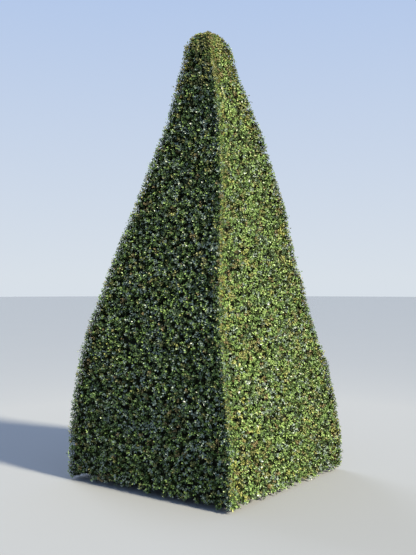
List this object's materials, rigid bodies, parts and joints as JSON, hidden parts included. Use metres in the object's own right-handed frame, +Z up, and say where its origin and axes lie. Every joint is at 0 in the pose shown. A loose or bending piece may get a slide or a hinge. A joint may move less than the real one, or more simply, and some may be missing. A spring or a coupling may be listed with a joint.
{
  "type": "clipped boxwood pyramid topiary",
  "caption": "Tall square pyramid of clipped boxwood with a blunt rounded tip, rooted in the ground on one short flared stem that forks low inside a leafy shell.",
  "frame": {"origin": "middle of the flat cut under the main stem, at ground level", "axes": "+Z up; X and Y square to the four clipped faces, with the front face towards -Y and the right face towards +X"},
  "size_m": [1.6008, 1.5959, 3.5974],
  "materials": {
    "foliage": "small leathery evergreen leaves, satin on top and duller beneath, clipped close, deep green with fresh yellow-green tips",
    "bark": "finely cracked grey-brown bark, dull"
  },
  "bodies": {
    "root": {"main_stem": "bark", "bough_leader": "bark", "bough_front": "bark", "bough_right": "bark", "bough_back": "bark", "bough_left": "bark", "foliage_front": "foliage", "foliage_right": "foliage", "foliage_back": "foliage", "foliage_left": "foliage", "foliage_tip": "foliage"}
  },
  "joints": []
}
